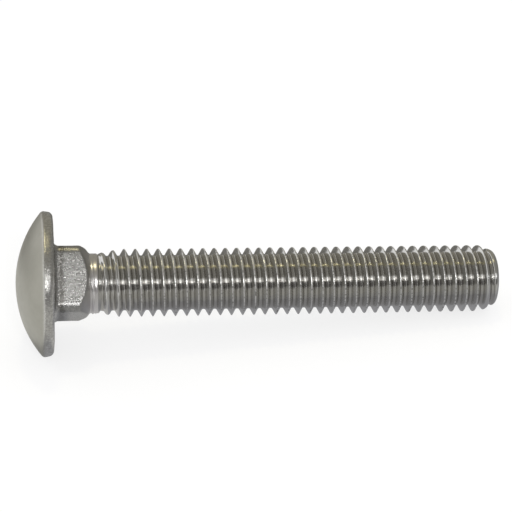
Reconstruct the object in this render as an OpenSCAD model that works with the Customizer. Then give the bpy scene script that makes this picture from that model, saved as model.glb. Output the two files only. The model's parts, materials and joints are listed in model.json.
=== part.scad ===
// Carriage bolt: domed head, square neck and coarse right-hand thread, forged and rolled in one
// piece. It lies on its side as it comes to rest, on the rim of its head and on a crest of its
// thread. Every sub-part is drawn upright first: the face under the head is at z = 0, the head is
// below it and the shank runs up. lay_down() then tips the finished bolt over.

/* [Head] */
// Diameter of the head, across its rim
head_d = 20.3; // [17:0.1:22]
// Height of the whole head, from the face under it to the top of the dome
head_h = 5.2; // [4.6:0.05:6]
// Distance from the face under the head to where the rim is widest
rim_h = 1.25; // [0.9:0.05:2]
// Radius of the edge between the dome and the rim
rim_front_r = 0.6; // [0.3:0.05:0.8]
// Radius of the edge between the rim and the face under the head
rim_back_r = 0.8; // [0.3:0.05:0.85]
// Taper of the rim towards the shank, in degrees
rim_taper = 9; // [6:1:14]

/* [Square neck] */
// Width of the square, across its flats
neck_w = 9.35; // [9:0.05:9.9]
// Radius of the square's rounded corners
neck_corner_r = 1.2; // [0.6:0.05:1.8]
// Depth of the neck, from the face under the head to the shoulder
neck_h = 5; // [4:0.1:5.6]
// Slope of the neck's end, in degrees from the bolt's axis
neck_end_angle = 53; // [45:1:65]
// Radius of the fillet between the neck and the face under the head
neck_fillet_r = 0.7; // [0.4:0.05:1]
// Turn of the square about the bolt's axis, in degrees
neck_turn = 49; // [0:1:89]

/* [Shoulder] */
// Diameter of the plain shoulder between the neck and the thread
shoulder_d = 8.35; // [8.1:0.05:8.8]
// Distance from the face under the head to the end of the shoulder
thread_start = 6.1; // [6:0.1:9]

/* [Thread] */
// Length of the bolt under its head
bolt_l = 62.9; // [40:0.1:76]
// Major diameter of the thread
thread_d = 9.525; // [9.25:0.025:10]
// Distance from one crest to the next
pitch = 1.5875; // [1.5:0.0125:1.75]
// Turn of the thread about the bolt's axis, in degrees
thread_turn = 50.625; // [5.625:11.25:354.375]
// Number of turns over which the crests rise to their full height
run_in = 2; // [1:0.25:3]

/* [Point] */
// Diameter of the flat end, measured to where its edge would be sharp
tip_d = 7.8; // [7:0.1:8.2]
// Slope of the point, in degrees from the bolt's axis
point_angle = 22; // [12:1:35]
// Radius that rounds the edge of the flat end
tip_edge_r = 0.6; // [0.2:0.05:0.7]

/* [Hidden] */

steel = [0.66, 0.65, 0.62];

// Smoothness: facets of a revolve, steps of an edge's arc and stations in one turn of the thread
round_fn = 96;
arc_steps = 6;
stations = 32;
// How far one shape reaches into or past another, where they are joined or cut
overlap = 0.5;
// Turn of the head's seam about the bolt's axis, in degrees
seam_turn = 3;

// Head, as radius and height: the centres of the rim's two edge arcs, and the dome's sphere,
// which the front edge's arc runs into without a break
head_r = head_d / 2;
front_c = [head_r - rim_front_r, -rim_h];
dome_rise = head_h - rim_h;
dome_r = (pow(front_c[0], 2) + pow(dome_rise, 2) - pow(rim_front_r, 2))
         / (2 * (dome_rise - rim_front_r));
dome_z = dome_r - head_h;
back_c = [front_c[0] + (rim_front_r - rim_back_r) / cos(rim_taper)
          + (front_c[1] + rim_back_r) * tan(rim_taper), -rim_back_r];
// Direction in which the front edge's arc leaves the dome
dome_angle = atan2(front_c[1] - dome_z, front_c[0]);

// Neck and shoulder
neck_half = neck_w / 2;
corner_c = neck_half - neck_corner_r;
shoulder_r = shoulder_d / 2;

// Thread: a 60 degree unified profile, 17/24 of its sharp height deep
flank_angle = 30;
thread_r = thread_d / 2;
thread_h = pitch * sqrt(3) / 2 * 17 / 24;
root_r = thread_r - thread_h;
flank_w = thread_h * tan(flank_angle);
crest_w = pitch / 8;
// One pitch of the profile, as distance along the axis and radius
profile = [[0, root_r], [flank_w, thread_r], [flank_w + crest_w, thread_r],
           [2 * flank_w + crest_w, root_r]];
// The helix starts inside the shoulder and ends past the point, and both ends are cut off
core_z = thread_start - overlap - pitch;
steps = ceil((bolt_l + overlap - core_z) / pitch) * stations;

// Point: where it starts to taper, and the centre of the arc that rounds its end
tip_r = tip_d / 2;
point_z = bolt_l - (thread_r - tip_r) / tan(point_angle);
tip_c = [tip_r + tip_edge_r * (tan(point_angle) - 1 / cos(point_angle)), bolt_l - tip_edge_r];

// Lying down: the floor touches the rim's front edge and the last crest before the point, at
// the side of the bolt that faces down
crest_z = core_z + flank_w + crest_w - pitch * thread_turn / 360;
rest_z = crest_z + pitch * floor((point_z - crest_z) / pitch);
rest_span = [rest_z - front_c[1], front_c[0] - thread_r];
rest_tilt = atan2(rest_span[1], rest_span[0]) + asin(rim_front_r / norm(rest_span));
axis_height = front_c[0] * cos(rest_tilt) + front_c[1] * sin(rest_tilt) + rim_front_r;
// How far the laid bolt reaches each way, at the dome and at the end's upper edge
reach_min = dome_z * cos(rest_tilt) - dome_r;
reach_max = tip_c[1] * cos(rest_tilt) + tip_c[0] * sin(rest_tilt) + tip_edge_r;

// Points of an arc about a centre, from one direction to another
function arc(centre, r, from, to) =
    [for (i = [0:arc_steps]) let (a = from + (to - from) * i / arc_steps)
        centre + r * [cos(a), sin(a)]];

// Triangles from one point to each side of a closed loop of points
function fan(apex, loop) =
    [for (i = [0:len(loop) - 1]) [apex, loop[i], loop[(i + 1) % len(loop)]]];

// Head: the dome's sphere, cut to size by the rim and the face under the head. Its seam is turned
// a little off the side that the bolt lies on
module head() {
    front = arc(front_c, rim_front_r, dome_angle, rim_taper);
    back = arc(back_c, rim_back_r, rim_taper, 90);
    color(steel)
    rotate(seam_turn)
    intersection() {
        translate([0, 0, dome_z]) sphere(dome_r, $fn = round_fn);
        rotate_extrude($fn = round_fn)
            polygon(concat([[0, -head_h - overlap], [front[0][0], -head_h - overlap]],
                           front, back, [[0, 0]]));
    }
}

// Outline of the square neck with its rounded corners
module neck_outline() {
    for (turn = [0, 90]) rotate(turn) square([neck_w, 2 * corner_c], center = true);
    for (turn = [0:90:270]) rotate(turn) translate([corner_c, corner_c])
        circle(neck_corner_r, $fn = round_fn);
}

// Fillet section, as distance out from where it starts and height above the face under the head
module fillet_section(reach) {
    polygon(concat([[0, -overlap], [reach + neck_fillet_r, -overlap]],
                   arc([reach + neck_fillet_r, neck_fillet_r], neck_fillet_r, 270, 180),
                   [[0, neck_fillet_r]]));
}

// Fillet round the neck: straight along the flats and turned round the corners
module neck_fillet() {
    for (turn = [0:90:270]) rotate(turn) {
        translate([0, corner_c, 0]) rotate([90, 0, 0])
            linear_extrude(2 * corner_c) fillet_section(neck_half);
        translate([corner_c, corner_c, 0])
            rotate_extrude(angle = 90, $fn = round_fn) fillet_section(neck_corner_r);
    }
}

// Square neck, with its end cut to a cone that runs into the shoulder
module neck() {
    reach = head_r;
    inner_r = shoulder_r - overlap;
    color(steel)
    rotate(neck_turn)
    intersection() {
        union() {
            translate([0, 0, -overlap]) linear_extrude(neck_h + 2 * overlap) neck_outline();
            neck_fillet();
        }
        rotate_extrude($fn = round_fn)
            polygon([[0, -overlap], [reach, -overlap],
                     [reach, neck_h - (reach - shoulder_r) / tan(neck_end_angle)],
                     [inner_r, neck_h + overlap / tan(neck_end_angle)],
                     [0, neck_h + overlap / tan(neck_end_angle)]]);
    }
}

// Plain shoulder, ending in a 45 degree slope down to the bottom of the first groove
module shoulder() {
    color(steel)
    rotate_extrude($fn = round_fn)
        polygon([[0, -overlap], [shoulder_r, -overlap], [shoulder_r, thread_start],
                 [root_r - overlap, thread_start + shoulder_r - root_r + overlap],
                 [0, thread_start + shoulder_r - root_r + overlap]]);
}

// Rod with a full right-hand thread: the profile is swept along a helix, one station at a time,
// and each turn is joined to the one before
module threaded_rod() {
    count = len(profile);
    function swept(i, j) =
        let (a = thread_turn + 360 * j / stations)
        [profile[i][1] * cos(a), profile[i][1] * sin(a),
         core_z + profile[i][0] + pitch * j / stations];
    // Number of a profile's point at a station: past the last point comes the next turn's first
    function at(i, j) =
        i == count ? at(0, j + stations) :
        j <= steps ? j * count + i :
        (steps + 1) * count + j - steps - 1;
    ribbon = [for (j = [0:steps]) for (i = [0:count - 1]) swept(i, j)];
    last_turn = [for (j = [steps + 1:steps + stations]) swept(0, j)];
    ends = [[0, 0, core_z], [0, 0, core_z + pitch * (steps / stations + 1)]];
    first_end = len(ribbon) + len(last_turn);
    // The outline of an end is one turn of the helix and a step back down the profile
    function end_loop(j) =
        concat([for (k = [0:stations]) at(0, j + k)], [for (i = [count - 1:-1:1]) at(i, j)]);
    sides = [for (j = [0:steps - 1]) for (i = [0:count - 1])
        each [[at(i, j), at(i + 1, j), at(i + 1, j + 1)],
              [at(i, j), at(i + 1, j + 1), at(i, j + 1)]]];
    polyhedron(concat(ribbon, last_turn, ends),
               concat(sides, fan(first_end, end_loop(0)),
                      [for (t = fan(first_end + 1, end_loop(steps))) [t[0], t[2], t[1]]]));
}

// Space that the thread fills: its crests rise from the shoulder to their full height, and fall
// again towards the rounded point
module thread_space() {
    outer_r = thread_r + overlap;
    rise = (thread_r - shoulder_r) / (run_in * pitch);
    rotate_extrude($fn = round_fn)
        polygon(concat([[0, thread_start - overlap],
                        [shoulder_r - rise * overlap / 2, thread_start - overlap],
                        [outer_r, thread_start - overlap / 2 + (outer_r - shoulder_r) / rise],
                        [outer_r, point_z - overlap / tan(point_angle)]],
                       arc(tip_c, tip_edge_r, point_angle, 90), [[0, bolt_l]]));
}

module thread() {
    color(steel)
    intersection() {
        threaded_rod();
        thread_space();
    }
}

// Tips the upright bolt over onto its side: its shank points along +X, and it touches z = 0
module lay_down() {
    translate([-(reach_min + reach_max) / 2, 0, axis_height]) rotate([0, 90 + rest_tilt, 0])
        children();
}

module carriage_bolt() {
    lay_down() {
        head();
        neck();
        shoulder();
        thread();
    }
}

carriage_bolt();
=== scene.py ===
"""Carriage bolt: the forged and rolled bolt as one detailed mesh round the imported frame, its steel,
and the studio that it is shown in. The bolt's sizes are in millimetres, the studio's in metres."""

import json
import math

import bpy
from mathutils import Matrix, Vector, noise


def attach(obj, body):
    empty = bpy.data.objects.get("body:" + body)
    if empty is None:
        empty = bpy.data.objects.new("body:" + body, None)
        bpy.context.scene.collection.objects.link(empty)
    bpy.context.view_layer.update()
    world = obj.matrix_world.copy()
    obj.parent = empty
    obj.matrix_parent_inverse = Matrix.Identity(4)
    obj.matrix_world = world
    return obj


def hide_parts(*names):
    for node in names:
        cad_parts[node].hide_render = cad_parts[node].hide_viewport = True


MM = 0.001

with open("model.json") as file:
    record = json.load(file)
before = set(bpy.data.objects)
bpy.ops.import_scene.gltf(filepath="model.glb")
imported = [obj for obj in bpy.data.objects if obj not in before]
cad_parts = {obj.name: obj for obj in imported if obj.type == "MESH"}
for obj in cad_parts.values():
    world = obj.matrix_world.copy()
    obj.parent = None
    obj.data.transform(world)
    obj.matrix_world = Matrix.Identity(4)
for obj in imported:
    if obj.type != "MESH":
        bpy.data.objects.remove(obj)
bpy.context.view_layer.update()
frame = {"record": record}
mounts = {m["name"]: m for m in frame["record"]["mounts"]}

# ---------------------------------------------------------------- sizes, as in the part's source

HEAD_R = 20.3 / 2
HEAD_H = 5.2
RIM_H = 1.25
RIM_FRONT_R = 0.6
RIM_BACK_R = 0.8
RIM_TAPER = math.radians(9)
NECK_HALF = 9.35 / 2
NECK_CORNER_R = 1.2
NECK_H = 5.0
NECK_END_ANGLE = math.radians(53)
NECK_FILLET_R = 0.7
NECK_TURN = math.radians(49)
SHOULDER_R = 8.35 / 2
THREAD_START = 6.1
BOLT_L = 62.9
THREAD_R = 9.525 / 2
PITCH = 1.5875
THREAD_TURN = math.radians(50.625)
RUN_IN = 2
TIP_R = 7.8 / 2
POINT_ANGLE = math.radians(22)
TIP_EDGE_R = 0.6
HELIX_OVERLAP = 0.5

# Values that follow from them. The points that end in _C are the centres of the edges' arcs, as
# (radius, z), with z 0 at the face under the head
FRONT_C = (HEAD_R - RIM_FRONT_R, -RIM_H)
DOME_RISE = HEAD_H - RIM_H
DOME_R = (FRONT_C[0] ** 2 + DOME_RISE ** 2 - RIM_FRONT_R ** 2) / (2 * (DOME_RISE - RIM_FRONT_R))
DOME_Z = DOME_R - HEAD_H
BACK_C = (
    FRONT_C[0] + (RIM_FRONT_R - RIM_BACK_R) / math.cos(RIM_TAPER)
    + (FRONT_C[1] + RIM_BACK_R) * math.tan(RIM_TAPER),
    -RIM_BACK_R,
)
DOME_ANGLE = math.atan2(FRONT_C[1] - DOME_Z, FRONT_C[0])
CORNER_AT = NECK_HALF - NECK_CORNER_R  # how far out both ways the neck's corner arcs are centred
FLANK = math.radians(30)
FULL_DEPTH = PITCH * math.sqrt(3) / 2 * 17 / 24
CREST_Z = THREAD_START - HELIX_OVERLAP - PITCH + FULL_DEPTH * math.tan(FLANK) + PITCH / 16
RISE = (THREAD_R - SHOULDER_R) / (RUN_IN * PITCH)
POINT_Z = BOLT_L - (THREAD_R - TIP_R) / math.tan(POINT_ANGLE)
TIP_C = (TIP_R + TIP_EDGE_R * (math.tan(POINT_ANGLE) - 1 / math.cos(POINT_ANGLE)),
         BOLT_L - TIP_EDGE_R)

# The upright bolt's axes as it lies: its own x points down and its z along the shank
AXIS = Vector(mounts["square_neck"]["axis"]).normalized()
UNDER_HEAD = Vector(mounts["square_neck"]["pos_m"])
SIDE = Vector((0, 1, 0))
DOWN = SIDE.cross(AXIS)
LIE_DOWN = Matrix((DOWN, SIDE, AXIS)).transposed().to_4x4()
LIE_DOWN.translation = UNDER_HEAD


def smooth_step(low, high, x):
    t = min(max((x - low) / (high - low), 0.0), 1.0)
    return t * t * (3 - 2 * t)


def smooth_min(a, b, width):
    """The smaller of a and b, with the step between them rounded over width."""
    h = max(width - abs(a - b), 0) / width
    return min(a, b) - h * h * width / 4


def smooth_max(a, b, width):
    return -smooth_min(-a, -b, width)


def on_arc(centre, r, a):
    return centre[0] + r * math.cos(a), centre[1] + r * math.sin(a)


# ---------------------------------------------------------------- the thread's form

CREST_W = 0.11  # crest's width, measured to where its edges would be sharp
ROOT_W = 0.4  # the same for the root
CREST_ARC_R = 0.065
ROOT_ARC_R = 0.24
THREAD_DEPTH = (PITCH - CREST_W - ROOT_W) / 2 / math.tan(FLANK)
ROOT_R = THREAD_R - THREAD_DEPTH
TURN = math.pi / 2 - FLANK  # how far the outline turns from crest or root to flank
CREST_FLAT = CREST_W / 2 - CREST_ARC_R * math.tan(TURN / 2)
ROOT_FLAT = ROOT_W / 2 - ROOT_ARC_R * math.tan(TURN / 2)

# The first groove: where it begins, its slope there, and how deep and how long it stays shallow
GROOVE_START = 6.0
GROOVE_SLOPE = 1.2
SHALLOW = 0.24
SHALLOW_L = 1.1

# The shoulder's two low ridges: how far each lies before a crest's middle, its width and its share
# of the height. They fade in after the neck and out before the first crest
RIDGES = ((0.46, 0.14, 1.0), (0.05, 0.09, 0.6))
RIDGE_H = 0.12
RIDGES_FROM = (NECK_H + 0.1, NECK_H + 0.3)
RIDGES_TO = (6.3, 6.5)

# A short crest, which the blank doesn't fill, falls off with the square of the distance from its
# middle. By the shoulder it falls more than at the point
SHORT_BY = 0.3
RUN_IN_ROUNDING = 1.6
POINT_ROUNDING = 0.5
ROUNDING_REACH = 0.5
RUN_IN_END = 12.0
FIRST_CREST_Z = 6.6
SHORT_CREST = 0.92  # how much of a crest a ridge or a short crest is to the steel
SHORT_TOP = (-0.08, -0.02)  # distance from the blank's limit over which a short crest comes in

# Between run-in and point the blank has room for the full thread. The bends are the widths over
# which one form runs into the next
CREST_ROOM = 0.03
RUN_IN_BEND = 0.05
POINT_BEND = 0.2
ROOT_BEND = 0.18
TOP_BEND = 0.1


def thread_radius(x):
    """Radius of the full thread at distance x along the axis from a crest's middle, with rounded
    root and crest."""
    x = abs((x + PITCH / 2) % PITCH - PITCH / 2)
    bend = PITCH / 2 - x - ROOT_FLAT
    if bend < ROOT_ARC_R * math.sin(TURN):
        return ROOT_R + ROOT_ARC_R - math.sqrt(ROOT_ARC_R ** 2 - max(bend, 0) ** 2)
    bend = x - CREST_FLAT
    if bend < CREST_ARC_R * math.sin(TURN):
        return THREAD_R - CREST_ARC_R + math.sqrt(CREST_ARC_R ** 2 - max(bend, 0) ** 2)
    return THREAD_R - (x - CREST_W / 2) / math.tan(FLANK)


def crest_distance(theta, z):
    """Distance along the axis from the nearest crest's middle, at an angle about the axis."""
    x = z - CREST_Z - PITCH * (theta - THREAD_TURN) / (2 * math.pi)
    return (x + PITCH / 2) % PITCH - PITCH / 2


def envelope(z):
    """Radius that the rolled blank fills: it rises from the shoulder and falls at the point."""
    rising = SHOULDER_R + RISE * max(z - THREAD_START, 0)
    falling = THREAD_R - (z - POINT_Z) * math.tan(POINT_ANGLE)
    risen = smooth_min(rising, THREAD_R + CREST_ROOM, RUN_IN_BEND)
    return smooth_min(risen, falling, POINT_BEND)


def bump(x, width):
    return math.exp(-(x / width) ** 2)


def shank_form(theta, z, limit):
    """Radius of the shank, and how much of a crest it is there. The blank fills it up to limit."""
    x = crest_distance(theta, z)
    along = z - GROOVE_START
    floor = SHOULDER_R - min(along * GROOVE_SLOPE, SHALLOW + max(along - SHALLOW_L, 0))
    on_shoulder = smooth_step(*RIDGES_FROM, z) * (1 - smooth_step(*RIDGES_TO, z))
    ridges = on_shoulder * sum(share * bump(x + before, width) for before, width, share in RIDGES)
    short = smooth_step(0.0, SHORT_BY, THREAD_R - limit) * (1 - on_shoulder)
    rounding = RUN_IN_ROUNDING if z < RUN_IN_END else POINT_ROUNDING
    top = limit + RIDGE_H * ridges - rounding * short * min(abs(x), ROUNDING_REACH) ** 2
    r = smooth_min(smooth_max(thread_radius(x), floor, ROOT_BEND), top, TOP_BEND)
    filled = short * smooth_step(*SHORT_TOP, r - limit) if z > FIRST_CREST_Z else 0
    return r, max((r - ROOT_R) / THREAD_DEPTH, SHORT_CREST * min(ridges, 1), SHORT_CREST * filled)


# Where the envelope turns over the end's edge, as distance travelled along it
ARC_FROM = TIP_C[1] + TIP_EDGE_R * math.sin(POINT_ANGLE)
FLAT_FROM = ARC_FROM + TIP_EDGE_R * (math.pi / 2 - POINT_ANGLE)
CUP_DEPTH = 0.12


def end_point(s):
    """(radius, z) of the rolled blank's outline at distance s along it: the point, its rounded edge
    and the slightly cupped end."""
    if s < ARC_FROM:
        return envelope(s), s
    if s < FLAT_FROM:
        return on_arc(TIP_C, TIP_EDGE_R, POINT_ANGLE + (s - ARC_FROM) / TIP_EDGE_R)
    r = TIP_C[0] - (s - FLAT_FROM)
    return r, BOLT_L - CUP_DEPTH * (1 - smooth_step(0.0, TIP_C[0], r))


# ---------------------------------------------------------------- the bolt's mesh

QUARTER = 24  # columns of points in a quarter of the bolt
HALF_SIDE = 6  # columns on each of the quarter's two half sides of the neck
CORNER = QUARTER - 2 * HALF_SIDE  # columns on the corner between them
COLUMNS = 4 * QUARTER
STEP = 2 * math.pi / COLUMNS
DOME_ROWS = 30
RIM_FRONT_ROWS = 8
RIM_BACK_ROWS = 10
FILLET_ROWS = 7
EDGE_ROWS = 5  # on the edge at the end of the neck's sides, and in the hollow at the shoulder
NECK_EDGE_R = 0.45  # rounding between the neck's sides and its conical end
HOLLOW_R = 0.3  # rounding between the conical end and the shoulder
EVEN_ON_CONE = 0.6  # how far the columns even out on the conical end
EDGE_FADE = 0.2  # how much of the shoulder's steel the neck's edge ends with, then its cone
CONE_FADE = 0.7
NECK_CREST = 0.5  # how much of a crest the shoulder's steel counts as there
WEDGE = 0.16  # width in which the spiral of points starts and ends
START_GAP = 1.2 * WEDGE  # how far past the neck's last ring it starts
CENTRE_R = 0.45  # what the spiral leaves for one face in the middle of the end
OVER_FLANKS = 2.2  # way over the thread for each millimetre along the axis
END_GRAIN = 0.6  # how much of the end face's steel is grainy
END_FADE = 0.3  # how far onto the face that is complete

# Shares of the way at which the neck's straight stretches have a ring, and the thread's arcs and
# flanks have points
UNDER_HEAD_AT = (0.04, 0.25, 0.5, 0.75, 0.93)
SIDE_AT = (0.05, 0.2, 0.35, 0.5, 0.65, 0.8, 0.95)
CONE_AT = (0.1, 0.3, 0.5, 0.7, 0.9)
ARC_AT = (0, 0.33, 0.67, 1)
FLANK_AT = (0.12, 0.5, 0.88)

# Each point has a zone (grain, thread, crest, wrap): how much of its steel is the grainy and the
# rolled one, how much of a crest it is, and its coordinates on the unwound thread
points = []
faces = []
zones = []
NO_WRAP = (0, 0, 0)


def add_point(theta, r, z, grain, thread, crest, wrap):
    points.append((r * math.cos(theta), r * math.sin(theta), z))
    zones.append((grain, thread, crest, wrap))
    return len(points) - 1


def join(low, high):
    """Faces between two rings of points."""
    for k in range(COLUMNS):
        n = (k + 1) % COLUMNS
        faces.append((low[k], low[n], high[n], high[k]))


def arc_steps(start, end, count):
    return [start + (end - start) * i / count for i in range(count + 1)]


def neck_side(k):
    """Place and outward direction on the neck's outline for column k."""
    quarter, q = divmod(k, QUARTER)
    if q <= HALF_SIDE:
        x, y, a = NECK_HALF, CORNER_AT * q / HALF_SIDE, 0.0
    elif q <= HALF_SIDE + CORNER:
        a = (q - HALF_SIDE) / CORNER * math.pi / 2
        x, y = on_arc((CORNER_AT, CORNER_AT), NECK_CORNER_R, a)
    else:
        x, y, a = CORNER_AT * (QUARTER - q) / HALF_SIDE, NECK_HALF, math.pi / 2
    turn = NECK_TURN + quarter * math.pi / 2
    c, s = math.cos(turn), math.sin(turn)
    return (x * c - y * s, x * s + y * c), (math.cos(a + turn), math.sin(a + turn))


def ring_angle(k):
    return NECK_TURN + STEP * k


def between(a, b, t):
    """An angle t of the way from a to b, the short way round."""
    return a + ((b - a + math.pi) % (2 * math.pi) - math.pi) * t


def head_rows():
    """The head's outline from the dome's middle to the face under it: radius, z and grain."""
    edge = math.pi / 2 + DOME_ANGLE
    for i in range(1, DOME_ROWS + 1):
        a = edge * i / (DOME_ROWS + 0.5)
        yield DOME_R * math.sin(a), DOME_Z - DOME_R * math.cos(a), 0.0
    for a in arc_steps(DOME_ANGLE, RIM_TAPER, RIM_FRONT_ROWS):
        yield *on_arc(FRONT_C, RIM_FRONT_R, a), smooth_step(DOME_ANGLE, RIM_TAPER, a)
    for a in arc_steps(RIM_TAPER, math.pi / 2, RIM_BACK_ROWS):
        yield *on_arc(BACK_C, RIM_BACK_R, a), 1.0


def build_head():
    """Rings from the dome's middle to the face under the head. Returns the last one."""
    middle = add_point(0, 0, -HEAD_H, 0, 0, 0, NO_WRAP)
    last = None
    for r, z, grain in head_rows():
        ring = [add_point(ring_angle(k), r, z, grain, 0, 0, NO_WRAP) for k in range(COLUMNS)]
        if last is None:
            for k in range(COLUMNS):
                faces.append((middle, ring[(k + 1) % COLUMNS], ring[k]))
        else:
            join(last, ring)
        last = ring
    return last


def build_neck(last):
    """Rings over the face under the head, the fillet, the neck, its conical end and the hollow edge
    at the shoulder. Returns the last one."""
    sides = [neck_side(k) for k in range(COLUMNS)]
    half_turn = math.tan(NECK_END_ANGLE / 2)
    full_drop = 1 - math.cos(NECK_END_ANGLE)

    def polar(x, y, z):
        return math.atan2(y, x), math.hypot(x, y), z

    def offset(k, out, z):
        (x, y), (nx, ny) = sides[k]
        return polar(x + nx * out, y + ny * out, z)

    def on_cone(r):
        return NECK_H - (r - SHOULDER_R) / math.tan(NECK_END_ANGLE)

    def side_end(k):
        """Where the conical end cuts off the side of the neck."""
        theta, r, _ = offset(k, 0, 0)
        return theta, r, on_cone(r)

    # The places of column k, as (theta, r, z), at a share t of the way or an angle a of an arc
    def under_head(k, t):
        """From the rim's circle to the fillet's outer line."""
        x, y = BACK_C[0] * math.cos(ring_angle(k)), BACK_C[0] * math.sin(ring_angle(k))
        theta, r, _ = offset(k, NECK_FILLET_R, 0)
        return polar(x + (r * math.cos(theta) - x) * t, y + (r * math.sin(theta) - y) * t, 0)

    def fillet(k, a):
        return offset(k, NECK_FILLET_R * (1 - math.sin(a)), NECK_FILLET_R * (1 - math.cos(a)))

    def side(k, t):
        theta, r, cut = side_end(k)
        top = cut - NECK_EDGE_R * half_turn
        return theta, r, NECK_FILLET_R + (top - NECK_FILLET_R) * t

    def edge(k, a):
        theta, r, cut = side_end(k)
        return (theta, r - NECK_EDGE_R * (1 - math.cos(a)),
                cut - NECK_EDGE_R * half_turn + NECK_EDGE_R * math.sin(a))

    def cone(k, t):
        """From the edge to the hollow, while the columns even out."""
        theta, r, _ = side_end(k)
        start_r = r - NECK_EDGE_R * full_drop
        end_r = SHOULDER_R + HOLLOW_R * full_drop
        r = start_r + (end_r - start_r) * t
        return between(theta, ring_angle(k), EVEN_ON_CONE * t), r, on_cone(r)

    def hollow(k, a):
        theta, _, _ = side_end(k)
        even = 1 - (1 - EVEN_ON_CONE) * a / NECK_END_ANGLE
        return (between(theta, ring_angle(k), even), SHOULDER_R + HOLLOW_R * (1 - math.cos(a)),
                NECK_H + HOLLOW_R * half_turn - HOLLOW_R * math.sin(a))

    def rings(place, steps, thread_at=lambda step: 0):
        """A ring at each step. thread_at says how much of the shoulder's steel it has."""
        nonlocal last
        for step in steps:
            thread = thread_at(step)
            ring = [add_point(*place(k, step), 1 - thread, thread, NECK_CREST * thread, NO_WRAP)
                    for k in range(COLUMNS)]
            join(last, ring)
            last = ring

    rings(under_head, UNDER_HEAD_AT)
    rings(fillet, arc_steps(0, math.pi / 2, FILLET_ROWS))
    rings(side, SIDE_AT)
    rings(edge, arc_steps(0, NECK_END_ANGLE, EDGE_ROWS), lambda a: EDGE_FADE * a / NECK_END_ANGLE)
    rings(cone, CONE_AT, lambda t: EDGE_FADE + (CONE_FADE - EDGE_FADE) * t)
    rings(hollow, arc_steps(NECK_END_ANGLE, 0, EDGE_ROWS),
          lambda a: 1 - (1 - CONE_FADE) * a / NECK_END_ANGLE)
    return last


def profile_steps():
    """Distances along one pitch at which the thread has points, from root middle to root middle."""
    root = ROOT_FLAT + ROOT_ARC_R * math.sin(TURN)
    crest = PITCH / 2 - CREST_FLAT - CREST_ARC_R * math.sin(TURN)
    half = [0.0]
    half += [ROOT_FLAT + ROOT_ARC_R * math.sin(TURN * t) for t in ARC_AT]
    half += [root + (crest - root) * t for t in FLANK_AT]
    half += [PITCH / 2 - CREST_FLAT - CREST_ARC_R * math.sin(TURN * t) for t in reversed(ARC_AT)]
    return half + [PITCH - x for x in reversed(half)]


def build_shank(ring, ring_z):
    """The thread, the shoulder before it and the end, as one spiral band of points whose edges are
    joined turn to turn. The band is narrow in its first and last turn, and a pitch wide between."""
    steps = profile_steps()
    count = len(steps) - 1
    ramp = (PITCH + WEDGE) / 2
    aligned_from = ring_z + START_GAP + ramp

    # Column at which the spiral starts, so that its rows follow the crests two turns on
    def miss(c):
        x = crest_distance(ring_angle(c), aligned_from) + PITCH / 2
        return abs((x + PITCH / 2) % PITCH - PITCH / 2)
    first = min(range(COLUMNS), key=miss)
    edge = aligned_from - (crest_distance(ring_angle(first), aligned_from) % PITCH - PITCH / 2)
    s_end = FLAT_FROM + TIP_C[0] - CENTRE_R
    turns = 2 + (s_end - WEDGE - ramp - edge) / PITCH
    last_aligned = round(turns * COLUMNS) / COLUMNS

    def low_edge(u):
        """Distance along the blank's outline of the band's lower edge after u turns."""
        if u < 1:
            return edge - ramp - WEDGE * (1 - u)
        if u < 2:
            t = u - 1
            return edge - ramp + WEDGE * t + (PITCH - WEDGE) * t * t / 2
        if u < last_aligned:
            return edge + PITCH * (u - 2)
        end = edge + PITCH * (last_aligned - 2)
        t = u - last_aligned
        if t < 1:
            return end + PITCH * t - (PITCH - WEDGE) * t * t / 2
        return end + ramp + WEDGE * (t - 1)

    def place(j, i):
        u = j / COLUMNS
        theta = ring_angle(first + j)
        low, high = low_edge(u), low_edge(u + 1)
        s = low + (high - low) * steps[i] / PITCH
        limit, z = end_point(s)
        r, crest = shank_form(theta, z, limit)
        if s > FLAT_FROM:
            r = min(r, limit)
        crest = min(max(crest, 0), 1)
        x = crest_distance(theta, z)
        grain = END_GRAIN * smooth_step(ARC_FROM, FLAT_FROM + END_FADE, s)
        return add_point(theta, r, z, grain, 1 - grain, crest,
                         (u * 2 * math.pi * THREAD_R, x * OVER_FLANKS, s))

    stations = round((last_aligned + 1) * COLUMNS)
    band = [[place(j, i) for i in range(count)] for j in range(stations + 1)]
    upper = [place(j, 0) for j in range(stations + 1, stations + COLUMNS + 1)]

    def at(i, j):
        if i == count:
            return at(0, j + COLUMNS)
        return band[j][i] if j <= stations else upper[j - stations - 1]

    for j in range(stations):
        for i in range(count):
            faces.append((at(i, j), at(i, j + 1), at(i + 1, j + 1), at(i + 1, j)))

    # The start: the ring below joins the band's first turn, with one step at the seam
    base = [ring[(first + k) % COLUMNS] for k in range(COLUMNS)]
    for k in range(COLUMNS - 1):
        faces.append((base[k], base[k + 1], at(0, k + 1), at(0, k)))
    faces.append((base[-1], base[0], *[at(i, 0) for i in range(count + 1)], at(0, COLUMNS - 1)))
    # The end: what is left in the middle of the end's face
    faces.append((*[at(0, j) for j in range(stations, stations + COLUMNS + 1)],
                  *[at(i, stations) for i in range(count - 1, 0, -1)]))


# Unevenness: the scale of its noise, where in the noise it starts, and its height
COARSE = (0.35, (3.1, 7.7, 1.9), 0.035)
FINE = (1.9, (11.3, 2.4, 5.5), 0.02)
DENTS = (0.22, (0.4, 9.2, 4.6), 0.02)

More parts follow.
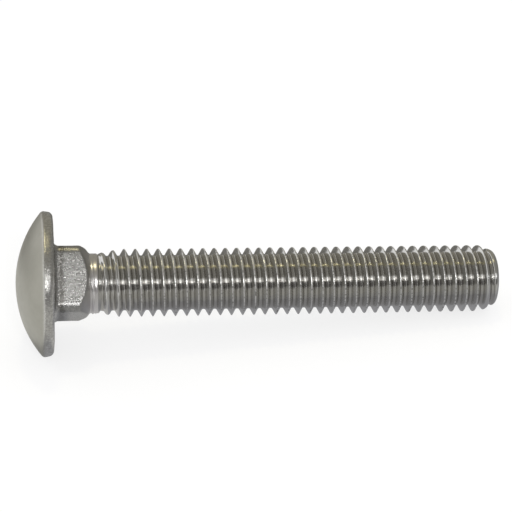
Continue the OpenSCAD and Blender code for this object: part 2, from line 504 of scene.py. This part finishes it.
# The same on the crests, in the thread's own coordinates: the noise's scale along the helix and its
# third coordinate. Across the turns the noise changes about once a pitch
NICKS = (0.9, 8.5)
NICK_H = 0.035
NICK_OVER = 0.25  # the noise's value from which it is a nick
WAVES = (0.35, 2.5)
WAVE_H = 0.012
PER_PITCH = 0.63
ROLLED_FROM = 0.9  # how much of a point's steel is rolled where this unevenness begins
NICK_CRESTS = (0.9, 1.0)  # how much of a crest it is where nicks begin and are full
WAVE_CRESTS = (0.8, 1.0)


def uneven(p, scale, start, height):
    return height * noise.noise(p * scale + Vector(start))


def on_helix(wrap, scale, third):
    return noise.noise(Vector((wrap[0] * scale, wrap[2] * PER_PITCH, third)))


def roughen(mesh):
    """Moves the points a little along their normals: forged unevenness on the rim and the neck,
    small dents on the dome, and nicks and uneven crests on the thread."""
    moved = []
    for v, (grain, thread, crest, wrap) in zip(mesh.vertices, zones):
        p = v.co
        d = grain * (uneven(p, *COARSE) + uneven(p, *FINE))
        d += (1 - grain) * (1 - thread) * uneven(p, *DENTS)
        if thread > ROLLED_FROM:
            nick = max(on_helix(wrap, *NICKS) - NICK_OVER, 0)
            d -= NICK_H * smooth_step(*NICK_CRESTS, crest) * nick
            d += WAVE_H * smooth_step(*WAVE_CRESTS, crest) * on_helix(wrap, *WAVES)
        moved.append(p + v.normal * d)
    for v, p in zip(mesh.vertices, moved):
        v.co = p


def link(made):
    bpy.context.scene.collection.objects.link(made)
    return made


def make_bolt():
    ring = build_neck(build_head())
    build_shank(ring, NECK_H + HOLLOW_R * math.tan(NECK_END_ANGLE / 2))
    mesh = bpy.data.meshes.new("bolt")
    mesh.from_pydata(points, [], faces)
    mesh.validate()
    for polygon in mesh.polygons:
        polygon.use_smooth = True
    roughen(mesh)
    for index, name in enumerate(("grain", "thread", "crest")):
        layer = mesh.attributes.new(name, "FLOAT", "POINT")
        layer.data.foreach_set("value", [zone[index] for zone in zones])
    for name, vectors in (("wrap", [zone[3] for zone in zones]), ("place", points)):
        layer = mesh.attributes.new(name, "FLOAT_VECTOR", "POINT")
        layer.data.foreach_set("vector", [c for vector in vectors for c in vector])
    mesh.transform(LIE_DOWN @ Matrix.Scale(MM, 4))
    return link(bpy.data.objects.new("bolt", mesh))


# ---------------------------------------------------------------- steel

# Colours, each pair as it is mixed: from the first to the second
DOME_SHADES = (0.385, 0.377, 0.330, 1), (0.425, 0.415, 0.368, 1)
GRAIN_SHADES = (0.48, 0.475, 0.455, 1), (0.72, 0.715, 0.69, 1)
NECK_GREY = (0.26, 0.26, 0.26, 1)
NECK_SHARE = 0.64  # how much of the neck's colour is its grey
# Painted shade by the head, mixed onto the neck in a band
HEAD_SHADE_GREY = (0.16, 0.155, 0.145, 1)
HEAD_SHADE_SHARE = 0.75
# Painted shade: the thread's roots darker than its flanks
SHADED_ROOT_TO_FLANK = (0.49, 0.48, 0.455, 1), (0.65, 0.645, 0.63, 1)
# Painted highlight: the crests lighter than the flanks, broken by darker patches
CREST_GLINT_TO_BREAK = (0.76, 0.755, 0.74, 1), (0.28, 0.275, 0.26, 1)
SHOULDER_GREY = (0.7, 0.685, 0.68, 1)

# Where along the bolt one steel gives way to the next: rim to neck, the start and the end of the
# painted shade in a band on the neck by the head, and shoulder to thread
NECK_FADE = (-0.2, 0.4)
HEAD_SHADE_START = (0.55, 0.8)
HEAD_SHADE_END = (1.7, 2.0)
SHOULDER_FADE = (6.0, 6.2)

# The same on the thread, by how much of a crest it is: painted root shade to flank, flank to the
# painted crest highlight, and the crest's own roughness
FLANK_FADE = (0.05, 0.5)
CREST_FADE = (0.925, 0.96)
CREST_ROUGH_FADE = (0.88, 0.98)

# Noises: scale, detail and, unless it is 0.5, roughness
CLOUDS = (0.22, 3.0)
SPECKS = (3.4, 3.0, 0.6)
HEAD_SHADE_EDGE = (1.1, 2.0)
SATIN = (1.3, 3.0)
SATIN_GRAIN = (9.0, 2.0)
PITS = (7.5, 2.0, 0.55)
PEEN = (1.7, 2.0)

# Noises on the unwound thread: scales along the helix, across the thread and along the shank, and
# detail
# The first row's noise breaks up the painted highlight on the crests
GLINT_BREAKS = ((3.4, 0.8, 2.1), 2.0)
STREAKS = ((0.5, 6.0, 0.0), 2.0)
MARKS = ((0.25, 14.0, 0.0), 3.0)

# Values of a noise between which a look changes
USUAL = (0.3, 0.7)  # where it mostly stays
SPECKLED = (0.35, 0.7)
GLINT_BROKEN = (0.52, 0.62)

# Roughness, each pair from the noise's low values to its high ones
DOME_ROUGHNESS = (0.42, 0.5)
RIM_ROUGHNESS = (0.27, 0.15)
NECK_ROUGHNESS = (0.34, 0.24)
ROLLED_ROUGHNESS = (0.11, 0.17)
CREST_ROUGHNESS = 0.3
SHOULDER_ROUGHNESS = 0.28

# Heights of the relief, each pair for the rim and the neck
PIT_HEIGHTS = (0.032, 0.034)
PEEN_HEIGHTS = (0.045, 0.02)
SATIN_HEIGHT = 0.0015
MARK_HEIGHT = 0.0015


class Nodes:
    """Short calls for building a material's nodes."""

    def __init__(self, name):
        self.material = bpy.data.materials.new(name)
        self.material.use_nodes = True
        self.tree = self.material.node_tree
        self.shader = self.tree.nodes["Principled BSDF"]

    def put(self, socket, value):
        if isinstance(value, bpy.types.NodeSocket):
            self.tree.links.new(value, socket)
        else:
            socket.default_value = value

    def node(self, kind, settings=None, **inputs):
        made = self.tree.nodes.new(kind)
        for key, value in (settings or {}).items():
            setattr(made, key, value)
        for key, value in inputs.items():
            self.put(made.inputs[key.replace("_", " ")], value)
        return made

    def attribute(self, name, output="Fac"):
        return self.node("ShaderNodeAttribute", {"attribute_name": name}).outputs[output]

    def math(self, operation, a, b):
        made = self.node("ShaderNodeMath", {"operation": operation})
        self.put(made.inputs[0], a)
        self.put(made.inputs[1], b)
        return made.outputs[0]

    def noise(self, where, scale, detail=2.0, roughness=0.5):
        return self.node("ShaderNodeTexNoise", Vector=where, Scale=scale, Detail=detail,
                         Roughness=roughness).outputs["Fac"]

    def span(self, value, low, high, to_low=0.0, to_high=1.0):
        return self.node("ShaderNodeMapRange", {"clamp": True}, Value=value, From_Min=low,
                         From_Max=high, To_Min=to_low, To_Max=to_high).outputs[0]

    def mix(self, share, a, b):
        made = self.node("ShaderNodeMix", {"data_type": "RGBA"})
        self.put(made.inputs["Factor"], share)
        self.put(made.inputs[6], a)
        self.put(made.inputs[7], b)
        return made.outputs[2]

    def mix_number(self, share, a, b):
        made = self.node("ShaderNodeMix", {"data_type": "FLOAT"})
        self.put(made.inputs["Factor"], share)
        self.put(made.inputs[2], a)
        self.put(made.inputs[3], b)
        return made.outputs[0]

    def stretch(self, vector, by):
        made = self.node("ShaderNodeVectorMath", {"operation": "MULTIPLY"})
        self.put(made.inputs[0], vector)
        self.put(made.inputs[1], by)
        return made.outputs[0]


def make_steel():
    n = Nodes("steel")
    place = n.attribute("place", "Vector")  # millimetres, upright bolt
    wrap = n.attribute("wrap", "Vector")  # along the helix, across the thread, along the shank
    grain = n.attribute("grain")
    thread = n.attribute("thread")
    crest = n.attribute("crest")
    up = n.node("ShaderNodeSeparateXYZ", Vector=place).outputs["Z"]
    on_neck = n.span(up, *NECK_FADE)
    past_shoulder = n.span(up, *SHOULDER_FADE)

    def on_thread(scales, detail):
        return n.noise(n.stretch(wrap, scales), 1.0, detail)

    # Colour: satin dome, grainy rim, greyer neck with painted shade in an uneven band by the head
    cloud = n.noise(place, *CLOUDS)
    speck = n.noise(place, *SPECKS)
    dome = n.mix(n.span(cloud, *USUAL), *DOME_SHADES)
    rough = n.mix(n.span(speck, *SPECKLED), *GRAIN_SHADES)
    rough = n.mix(n.math("MULTIPLY", on_neck, NECK_SHARE), rough, NECK_GREY)
    # Painted shade on the neck next to the head, in a band with an uneven far edge
    uneven_up = n.math("ADD", up, n.noise(place, *HEAD_SHADE_EDGE))
    band = n.math("MULTIPLY", n.span(up, *HEAD_SHADE_START), n.span(uneven_up, *HEAD_SHADE_END, 1.0, 0.0))
    rough = n.mix(n.math("MULTIPLY", band, HEAD_SHADE_SHARE), rough, HEAD_SHADE_GREY)

    # Rolled thread with painted shade in its roots, a painted highlight along its crests broken by
    # darker patches, and a plain shoulder
    rolled = n.mix(n.span(crest, *FLANK_FADE), *SHADED_ROOT_TO_FLANK)
    crest_glint = n.mix(n.span(on_thread(*GLINT_BREAKS), *GLINT_BROKEN), *CREST_GLINT_TO_BREAK)
    rolled = n.mix(n.span(crest, *CREST_FADE), rolled, crest_glint)
    rolled = n.mix(past_shoulder, SHOULDER_GREY, rolled)
    colour = n.mix(grain, dome, rough)
    colour = n.mix(thread, colour, rolled)
    n.put(n.shader.inputs["Base Color"], colour)
    n.shader.inputs["Metallic"].default_value = 1.0

    # Roughness
    dome_rough = n.span(n.noise(place, *SATIN), *USUAL, *DOME_ROUGHNESS)
    rim_rough = n.span(speck, *USUAL, *RIM_ROUGHNESS)
    neck_rough = n.span(speck, *USUAL, *NECK_ROUGHNESS)
    grain_rough = n.mix_number(on_neck, rim_rough, neck_rough)
    rolled_rough = n.span(on_thread(*STREAKS), *USUAL, *ROLLED_ROUGHNESS)
    on_crest = n.span(crest, *CREST_ROUGH_FADE)
    rolled_rough = n.mix_number(on_crest, rolled_rough, CREST_ROUGHNESS)
    rolled_rough = n.mix_number(past_shoulder, SHOULDER_ROUGHNESS, rolled_rough)
    value = n.mix_number(grain, dome_rough, grain_rough)
    value = n.mix_number(thread, value, rolled_rough)
    n.put(n.shader.inputs["Roughness"], value)

    # Relief: fine satin on the dome, blasted grain on the rim and neck, rolling marks on the thread
    pits = n.noise(place, *PITS)
    peen = n.noise(place, *PEEN)
    pits = n.math("MULTIPLY", pits, n.mix_number(on_neck, *PIT_HEIGHTS))
    peen = n.math("MULTIPLY", peen, n.mix_number(on_neck, *PEEN_HEIGHTS))
    grain_height = n.math("ADD", pits, peen)
    dome_height = n.math("MULTIPLY", n.noise(place, *SATIN_GRAIN), SATIN_HEIGHT)
    marks = on_thread(*MARKS)
    height = n.mix_number(grain, dome_height, grain_height)
    height = n.mix_number(thread, height, n.math("MULTIPLY", marks, MARK_HEIGHT))
    relief = n.node("ShaderNodeBump", Strength=1.0, Distance=MM, Height=height)
    n.put(n.shader.inputs["Normal"], relief.outputs[0])
    return n.material


# ---------------------------------------------------------------- stage

WHITE = (1, 1, 1, 1)
WORLD_LIGHT = (0.95, 0.955, 0.97, 1)
FLOOR_GREY = (0.93, 0.93, 0.93, 1)
FLOOR_HALF = 3.0
SHADOW_DEPTH = 0.25  # how deep the camera and reflections see the floor's shadow
CARD_X = (-0.3, 0.45)  # the cards' ends along the bolt
CARD_DISTANCE = 0.5
CARD_MIDDLE_Z = 0.01
CARD_ROWS = 12
END_CARD_COLOUR = (0.25, 0.245, 0.23)
FLOOR_CARD_Z = 0.00006
LAMP_DISTANCE = 0.6

# Cards round the bolt, seen only in reflections: name, elevation from and to in degrees, from the
# horizon in front over the top to the horizon behind at 180, colour, and where along x it begins
ROUND_CARDS = (
    ("card_back", 104, 180, (0.32, 0.305, 0.26), -0.2),
    ("card_overhead", 96, 104, (0.47, 0.435, 0.27), CARD_X[0]),
    ("card_above", 44, 96, (0.27, 0.262, 0.24), CARD_X[0]),
    ("card_key", 26, 44, (0.87, 0.87, 0.88), CARD_X[0]),
    ("card_front", -1, 26, (0.15, 0.146, 0.144), CARD_X[0]),
)

# Sheets just over the floor, seen only in reflections: name, x from and to, y from and to, colour.
# They meet at the head and at the end of the neck
HEAD_X, HEAD_BACK_X, NECK_END_X = -0.036, -0.0275, -0.021
FRONT_Y, NEAR_Y, BEHIND_Y = -0.013, -0.008, 0.011
FLOOR_CARDS = (
    ("card_near", NECK_END_X, CARD_X[1], NEAR_Y, BEHIND_Y, (0.34, 0.34, 0.355)),
    ("card_middle", NECK_END_X, CARD_X[1], FRONT_Y, NEAR_Y, (0.43, 0.43, 0.43)),
    ("card_neck", HEAD_BACK_X, NECK_END_X, FRONT_Y, BEHIND_Y, (0.54, 0.535, 0.53)),
    ("card_head", HEAD_X, HEAD_BACK_X, FRONT_Y, BEHIND_Y, (0.35, 0.35, 0.36)),
    ("card_left", -0.5, HEAD_X, -0.3, 0.04, (0.88, 0.88, 0.87)),
    ("card_before", HEAD_X, CARD_X[1], -0.1, FRONT_Y, (0.49, 0.485, 0.465)),
    ("card_outer", HEAD_X, CARD_X[1], -0.49, -0.1, (0.24, 0.235, 0.23)),
    ("card_behind", HEAD_X, CARD_X[1], BEHIND_Y, 0.04, (0.2, 0.195, 0.18)),
    ("card_far", CARD_X[0], CARD_X[1], 0.04, 0.49, (0.2, 0.195, 0.18)),
)


def seen_directly(tree):
    """A value that is 1 for what the camera sees, also in reflections."""
    path = tree.nodes.new("ShaderNodeLightPath")
    last = path.outputs["Is Camera Ray"]
    for ray in ("Is Glossy Ray", "Is Transmission Ray"):
        most = tree.nodes.new("ShaderNodeMath")
        most.operation = "MAXIMUM"
        tree.links.new(last, most.inputs[0])
        tree.links.new(path.outputs[ray], most.inputs[1])
        last = most.outputs[0]
    return last


def mix_shaders(tree, share, a, b, output):
    mix = tree.nodes.new("ShaderNodeMixShader")
    for value, socket in zip((share, a.outputs[0], b.outputs[0]), mix.inputs):
        tree.links.new(value, socket)
    tree.links.new(mix.outputs[0], tree.nodes[output].inputs[0])


def make_world():
    """A pale world that lights the bolt, and that the camera and reflections see as white."""
    world = bpy.data.worlds.new("world")
    bpy.context.scene.world = world
    world.use_nodes = True
    tree = world.node_tree
    lit = tree.nodes["Background"]
    lit.inputs["Color"].default_value = WORLD_LIGHT
    lit.inputs["Strength"].default_value = 1.0
    white = tree.nodes.new("ShaderNodeBackground")
    white.inputs["Color"].default_value = WHITE
    white.inputs["Strength"].default_value = 1.0
    mix_shaders(tree, seen_directly(tree), lit, white, "World Output")


def stage_mesh(name, corners, sheets):
    mesh = bpy.data.meshes.new(name)
    mesh.from_pydata([tuple(c) for c in corners], [], sheets)
    made = link(bpy.data.objects.new(name, mesh))
    return made


def rectangle(name, x, y, z):
    """A level sheet over two ranges, x and y."""
    corners = [(x[0], y[0], z), (x[1], y[0], z), (x[1], y[1], z), (x[0], y[1], z)]
    return stage_mesh(name, corners, [(0, 1, 2, 3)])


def make_floor():
    """A white floor that catches light as a grey one, so that the shadow on it can be paler."""
    floor = rectangle("floor", (-FLOOR_HALF, FLOOR_HALF), (-FLOOR_HALF, FLOOR_HALF), 0)
    material = bpy.data.materials.new("floor")
    material.use_nodes = True
    tree = material.node_tree
    shader = tree.nodes["Principled BSDF"]
    shader.inputs["Base Color"].default_value = FLOOR_GREY
    shader.inputs["Roughness"].default_value = 0.9
    shader.inputs["Specular IOR Level"].default_value = 0.1
    white = tree.nodes.new("ShaderNodeEmission")
    white.inputs["Color"].default_value = WHITE
    paler = tree.nodes.new("ShaderNodeMath")
    paler.operation = "MULTIPLY"
    paler.inputs[1].default_value = 1 - SHADOW_DEPTH
    tree.links.new(seen_directly(tree), paler.inputs[0])
    mix_shaders(tree, paler.outputs[0], shader, white, "Material Output")
    floor.data.materials.append(material)


def paint_card(made, colour):
    """Gives a card its colour and hides it from all but reflections."""
    material = bpy.data.materials.new(made.name)
    material.use_nodes = True
    tree = material.node_tree
    tree.nodes.remove(tree.nodes["Principled BSDF"])
    glow = tree.nodes.new("ShaderNodeEmission")
    glow.inputs["Color"].default_value = (*colour, 1)
    tree.links.new(glow.outputs[0], tree.nodes["Material Output"].inputs[0])
    made.data.materials.append(material)
    for ray in ("camera", "diffuse", "transmission", "volume_scatter", "shadow"):
        setattr(made, "visible_" + ray, False)


def round_card(name, elevation_from, elevation_to, colour, x_from):
    """A curved card round the bolt's length."""
    middle = Vector((0, 0, CARD_MIDDLE_Z))
    corners = []
    for e in arc_steps(math.radians(elevation_from), math.radians(elevation_to), CARD_ROWS):
        arm = Vector((0, -math.cos(e), math.sin(e))) * CARD_DISTANCE
        corners += [middle + arm + Vector((x, 0, 0)) for x in (x_from, CARD_X[1])]
    sheets = [(2 * i, 2 * i + 1, 2 * i + 3, 2 * i + 2) for i in range(CARD_ROWS)]
    paint_card(stage_mesh(name, corners, sheets), colour)


def end_card():
    """A card to the right of the bolt."""
    x, y, z = CARD_X[1], CARD_DISTANCE, CARD_DISTANCE
    corners = [(x, -y, 0), (x, y, 0), (x, y, z), (x, -y, z)]
    paint_card(stage_mesh("card_end", corners, [(0, 1, 2, 3)]), END_CARD_COLOUR)


def lamp(name, azimuth, elevation, size, power, colour):
    """A square lamp that faces the bolt. Azimuth 0 is in front, positive to the right."""
    a, e = math.radians(azimuth), math.radians(elevation)
    arm = Vector((math.sin(a) * math.cos(e), -math.cos(a) * math.cos(e), math.sin(e)))
    data = bpy.data.lights.new(name, "AREA")
    data.size = size
    data.energy = power
    data.color = colour
    made = link(bpy.data.objects.new(name, data))
    facing = arm.to_track_quat("Z", "Y").to_matrix().to_4x4()
    made.matrix_world = Matrix.Translation(arm * LAMP_DISTANCE) @ facing


def make_lights():
    """The cards that the bolt reflects, and two small lamps."""
    for name, low, high, colour, x_from in ROUND_CARDS:
        round_card(name, low, high, colour, x_from)
    for name, x_from, x_to, y_from, y_to, colour in FLOOR_CARDS:
        paint_card(rectangle(name, (x_from, x_to), (y_from, y_to), FLOOR_CARD_Z), colour)
    end_card()
    lamp("key", azimuth=6, elevation=32, size=0.07, power=0.98, colour=(1.0, 0.99, 0.98))
    lamp("overhead", azimuth=0, elevation=100, size=0.06, power=0.4, colour=(1.0, 0.9, 0.56))


# ---------------------------------------------------------------- camera

CAMERA_AZIMUTH = 6.234
CAMERA_ELEVATION = 30.0
CAMERA_ROLL = -1.941
FOCAL_PIXELS = 1750
IMAGE_PIXELS = 512
AIM = 28.5  # along the bolt's axis from the face under its head
DROP = 3.550  # how far the aimed point lies below the picture's middle
CAMERA_DISTANCE = 247.5


def make_camera():
    """A camera at the photo's angle, aimed a little above a place on the bolt's axis."""
    a, e, roll = (math.radians(v) for v in (CAMERA_AZIMUTH, CAMERA_ELEVATION, CAMERA_ROLL))
    forward = Vector((math.sin(a) * math.cos(e), math.cos(a) * math.cos(e), -math.sin(e)))
    level = Vector((math.cos(a), -math.sin(a), 0))
    upright = level.cross(forward)
    right = level * math.cos(roll) + upright * math.sin(roll)
    up = upright * math.cos(roll) - level * math.sin(roll)
    data = bpy.data.cameras.new("camera")
    data.sensor_width = 36
    data.lens = data.sensor_width * FOCAL_PIXELS / IMAGE_PIXELS
    data.clip_start = 0.01
    data.clip_end = 20
    target = UNDER_HEAD + AXIS * AIM * MM + up * DROP * MM
    matrix = Matrix((right, up, -forward)).transposed().to_4x4()
    matrix.translation = target - forward * CAMERA_DISTANCE * MM
    camera = link(bpy.data.objects.new("camera", data))
    camera.matrix_world = matrix
    bpy.context.scene.camera = camera


# ---------------------------------------------------------------- scene

make_camera()
make_world()
make_floor()
make_lights()
bpy.context.scene.view_settings.view_transform = "Standard"

bolt = make_bolt()
bolt.data.materials.append(make_steel())
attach(bolt, "root")
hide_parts("carriage_bolt")
